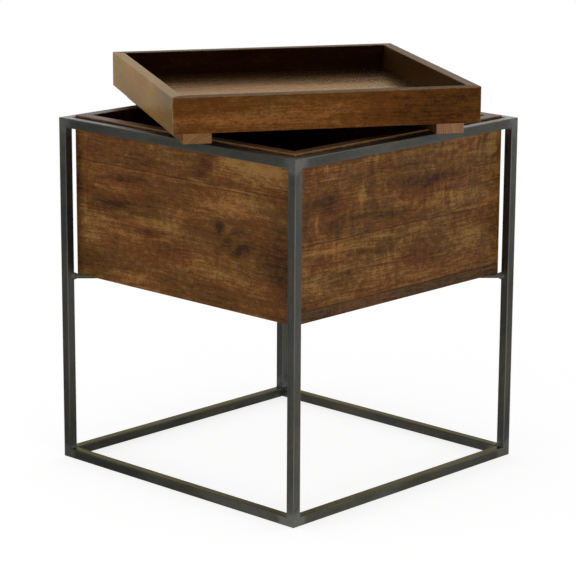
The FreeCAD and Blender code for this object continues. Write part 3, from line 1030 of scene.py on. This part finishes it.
class TABLE_OT_tray(bpy.types.Operator):
    """Stain the tray and its battens"""

    bl_idname = "end_table.tray"
    bl_label = "Stained tray"

    def execute(self, context):
        shell = (TRAY_TURN, TRAY_BASE, TRAY_HALF, TRAY_WALL, TRAY_TOP - TRAY_BASE)
        walls = (
            # The front wall's golden tint and lighter tone are partly a painted sheen over its stain
            ("front", 0.14, TRAY_FRONT_FIGURE_AND_SHADE, TRAY_FRONT_FINISH, (1.06, 1.06, 0.60)),
            ("right", 0.02, TRAY_RIGHT_FIGURE, TRAY_RIGHT_FINISH, (1.0, 0.95, 0.95)),
            ("rear", 0.0, (), TRAY_FINISH, (1.0, 0.80, 0.75)),
            ("left", 0.0, (), TRAY_FINISH, None),
        )
        for number, (side, tone, spots, finish, tint) in enumerate(walls):
            turn = upright_board(TRAY_TURN + number * math.pi / 2)
            seed = (9.1 + 1.3 * number, 4.2 + 0.77 * number, 0.1 * number)
            name = f"tray_{side}_wall"
            material = stained_wood(
                name + "_stain", turn, (0, -TRAY_BASE, 0), seed, tone, -0.1, spots, shell,
                finish=finish, tint=tint,
            )
            dress([name], material)
        # The panel's spots are a painted highlight and painted shade
        panel = stained_wood(
            "tray_panel_stain_and_painted_light", flat_board(TRAY_TURN + math.pi / 2), (0, 0, 0), (2.6, 7.7, 0.2), 0.0, 0.2,
            PANEL_PAINTED_LIGHT, shell, finish=PANEL_FINISH,
        )
        dress(["tray_bottom_panel"], panel)
        battens = (
            ("front", (3.1, 1.9, 0.5), 0.16, (0.92, 0.96, 0.78)),
            ("rear", (6.4, 3.3, 0.8), 0.12, (1.15, 1.25, 1.55)),
        )
        for side, seed, tone, end in battens:
            name = f"tray_{side}_batten"
            dress([name], stained_wood(name + "_stain", flat_board(TRAY_TURN), (0, 0, 0), seed, tone, end=end))
        return {"FINISHED"}


def hexagon_screw(settings):
    """A hexagon screw along Z: the underside of its chamfered head at z = 0, its shank upwards."""
    height, length, radius = settings.hexagon_height, settings.fixing_length, settings.shank / 2
    corner = settings.hexagon / 2 / math.cos(math.pi / 6)
    chamfer = settings.hexagon * 0.46
    overlap = 0.2 * MM
    head = cone("fixing_screw", 6, corner, corner, height, raised(-height / 2))
    crown = cone("crown", 48, chamfer, chamfer + 2 * height, height + overlap, raised(overlap / 2 - height / 2))
    shank = cone("shank", 24, radius, radius, length, raised(length / 2 - overlap))
    return combined(combined(head, crown, "INTERSECT"), shank, "UNION")


def recess_slot(angle):
    """One slot of a cross recess, open below and narrower above."""
    bm = block(RECESS_SLOT, turned(angle))
    for vert in bm.verts:
        if vert.co.z > 0:
            vert.co.x *= RECESS_TAPER
            vert.co.y *= RECESS_TAPER
    return new_object("recess", bm)


def countersunk_screw(settings):
    """A countersunk screw along Z: its cross-recessed face at z = 0, its shank upwards."""
    wide, narrow, length = settings.sunk_head / 2, settings.shank / 2, settings.batten_length
    edge = 0.2 * MM
    outline = [(0.0, 0.0), (wide - edge, 0.0), (wide, edge), (narrow, wide - narrow)]
    outline += [(narrow, length - TIP_LENGTH), (0.3 * MM, length), (0.0, length)]
    form = revolved([(radius, 0, height) for radius, height in outline], False, (0, 0, 1), 36)
    cross = combined(recess_slot(0.0), recess_slot(math.pi / 2), "UNION")
    return combined(new_object("batten_screw", form), cross, "DIFFERENCE")


def copies(name, original, places):
    """One object made of an original repeated at several places; the original is used up."""
    whole = bmesh.new()
    for place in places:
        part = bmesh.new()
        part.from_mesh(original.data)
        gather(whole, part, place)
    bpy.data.objects.remove(original)
    return new_object(name, whole)


class TABLE_OT_screws(bpy.types.Operator):
    """Make the hexagon screws of the fixing tabs and the countersunk screws of the battens"""

    bl_idname = "end_table.screws"
    bl_label = "Screws"

    def execute(self, context):
        settings = context.scene.end_table_screw
        colour = context.scene.end_table_steel.zinc
        zinc = bare_metal("zinc_plating", colour, roughness=0.35, grain=1200.0, relief=0.08 * MM)
        seat = (FIXING_DISTANCE, FIXING_SIDE, BOX_BASE - TAB_THICKNESS)
        places = [turned(angle) @ Matrix.Translation(seat) for angle in LEG_DIRECTIONS]
        piece = copies("hexagon_screws", hexagon_screw(settings), places)
        finished(piece, zinc, "table", "box_fixing_screws", smooth_below=25)
        places = [
            turned(TRAY_TURN)
            @ Matrix.Translation((x * BATTEN_SCREW_PLACE, y * BATTEN_OFFSET, BATTEN_BASE))
            @ turned(math.radians(23 + 31 * x + 47 * y))
            for x in (-1, 1)
            for y in (-1, 1)
        ]
        piece = copies("countersunk_screws", countersunk_screw(settings), places)
        finished(piece, zinc, "tray", "tray_batten_screws", smooth_below=25)
        return {"FINISHED"}


def side_brightness(w, direction):
    """Brightness of the room in reflections: white, and grey towards the left of the studio."""
    return w.fade(w.dot(direction, RIGHTWARD), -0.9, 0.1, 0.48, 1.0)


def by_ray(w, plain, shown, mirrored):
    """One shader that lights the table, one that is seen directly, and one for reflections."""
    path = w.add("LightPath").outputs
    direct = w.either(path["Is Camera Ray"], plain, shown)
    return w.either(w.greater(path["Is Glossy Ray"], path["Is Transmission Ray"]), direct, mirrored)


def floor_material(colour):
    """Pale floor: it keeps the real shadow near the table, shows a painted shadow there in reflections, and fades
    to white further off.
    """
    material = bpy.data.materials.new("pale_floor")
    w = emptied(material)
    plain = w.add("BsdfDiffuse", {"Color": colour}).outputs[0]
    part = w.add("BsdfDiffuse", {"Color": scaled(colour, 0.60)}).outputs[0]
    near = w.add("AddShader", {0: part, 1: w.light("Emission", 0.78)}).outputs[0]
    place = w.add("TexCoord").outputs["Object"]
    axes = w.split(place)
    distance = w.length(axes["X"], axes["Y"])
    shown = w.either(w.fade(distance, *FLOOR_FADE), near, w.light("Emission", 1.0))
    side = side_brightness(w, w.vector("NORMALIZE", place))
    # Painted shadow in reflections: the floor near the table is dimmer, lighter on the camera's side, fading to
    # plain brightness further off
    ahead = w.fade(w.dot(place, scaled(BACKWARD, -1)), 0.10, 0.32, 0.0, 0.45)
    painted_floor_shadow = w.lesser(w.weighted((side, 0.62), ahead), 1.0)
    strength = w.plus(painted_floor_shadow, w.times(w.fade(distance, *MIRRORED_FADE), w.minus(side, painted_floor_shadow)))
    surface = by_ray(w, plain, shown, w.light("Emission", strength))
    back = w.add("NewGeometry").outputs["Backfacing"]
    clear = w.add("BsdfTransparent").outputs[0]
    w.add("OutputMaterial", {"Surface": w.either(back, surface, clear)})
    return material


def studio_world(ambient, backdrop):
    """White when it is seen directly, greyer to the left in reflections, and a low backdrop as a light."""
    world = bpy.data.worlds.new("white_room")
    w = emptied(world)
    direction = w.add("TexCoord").outputs["Generated"]
    backward = w.dot(direction, BACKWARD)
    rise = w.split(direction)["Z"]
    screen = w.times(w.fade(backward, -0.3, 0.5), w.times(w.fade(rise, 0.75, 0.25), backdrop))
    plain = w.light("Background", w.plus(screen, ambient))
    lit = w.minus(w.fade(rise, 0.15, 0.24, 0.0, 1.50), 0.50)
    behind = w.times(w.fade(backward, 0.60, 0.85), w.fade(rise, 0.65, 0.45))
    band = w.plus(w.times(behind, lit), 1.0)
    mirrored = w.light("Background", w.times(side_brightness(w, direction), band))
    w.add("OutputWorld", {"Surface": by_ray(w, plain, w.light("Background", 1.0), mirrored)})
    return world


def soft_lamp(name, location, power):
    """A flat lamp that faces the table's upright axis."""
    data = bpy.data.lights.new(name, "AREA")
    data.shape = "RECTANGLE"
    data.size, data.size_y = LAMP_SIZE
    data.energy = power
    lamp = in_scene(name, data)
    lamp.location = location
    aim = Vector((-location[0], -location[1], 0))
    lamp.rotation_euler = aim.to_track_quat("-Z", "Y").to_euler()
    lamp.visible_glossy = False


class TABLE_OT_studio(bpy.types.Operator):
    """Set the floor, the lamps and the camera"""

    bl_idname = "end_table.studio"
    bl_label = "Studio"

    def execute(self, context):
        studio = context.scene.end_table_studio
        bm = bmesh.new()
        bmesh.ops.create_grid(bm, x_segments=1, y_segments=1, size=studio.floor_reach)
        floor = new_object("floor", bm)
        floor.data.materials.append(floor_material(studio.floor))
        context.scene.world = studio_world(studio.ambient, studio.backdrop)
        soft_lamp("right_lamp", RIGHT_LAMP_PLACE, studio.right)
        soft_lamp("left_lamp", LEFT_LAMP_PLACE, studio.left)
        context.scene.view_settings.view_transform = "Standard"
        data = bpy.data.cameras.new("camera")
        data.sensor_width = SENSOR_WIDTH
        data.lens = studio.lens
        data.clip_start, data.clip_end = 0.1, 100.0
        camera = in_scene("camera", data)
        camera.location = CAMERA_PLACE
        yaw, pitch, roll = (math.radians(angle) for angle in CAMERA_TURN)
        level = Matrix.Rotation(yaw, 3, "Z") @ Matrix.Rotation(math.pi / 2 - pitch, 3, "X")
        camera.rotation_euler = (level @ Matrix.Rotation(roll, 3, "Z")).to_euler()
        context.scene.camera = camera
        return {"FINISHED"}


STEPS = (
    TABLE_OT_studio,
    TABLE_OT_steel,
    TABLE_OT_rod_welds,
    TABLE_OT_corner_welds,
    TABLE_OT_box,
    TABLE_OT_tray,
    TABLE_OT_screws,
)

SETTINGS = (
    ("end_table_stain", StainSettings),
    ("end_table_steel", SteelSettings),
    ("end_table_weld", WeldSettings),
    ("end_table_screw", ScrewSettings),
    ("end_table_studio", StudioSettings),
)


class TABLE_PT_panel(bpy.types.Panel):
    """The settings and the steps of the end table"""

    bl_label = "End Table"
    bl_space_type = "VIEW_3D"
    bl_region_type = "UI"
    bl_category = "End Table"

    def draw(self, context):
        for name, settings in SETTINGS:
            group = getattr(context.scene, name)
            box = self.layout.box()
            for field in settings.__annotations__:
                box.prop(group, field)
        for step in STEPS:
            self.layout.operator(step.bl_idname)


def register():
    for name, settings in SETTINGS:
        bpy.utils.register_class(settings)
        setattr(bpy.types.Scene, name, PointerProperty(type=settings))
    for step in STEPS:
        bpy.utils.register_class(step)
    bpy.utils.register_class(TABLE_PT_panel)


def unregister():
    bpy.utils.unregister_class(TABLE_PT_panel)
    for step in reversed(STEPS):
        bpy.utils.unregister_class(step)
    for name, settings in reversed(SETTINGS):
        delattr(bpy.types.Scene, name)
        bpy.utils.unregister_class(settings)


def main():
    register()
    for step in STEPS:
        group, name = step.bl_idname.split(".")
        getattr(getattr(bpy.ops, group), name)()


if __name__ == "__main__":
    main()
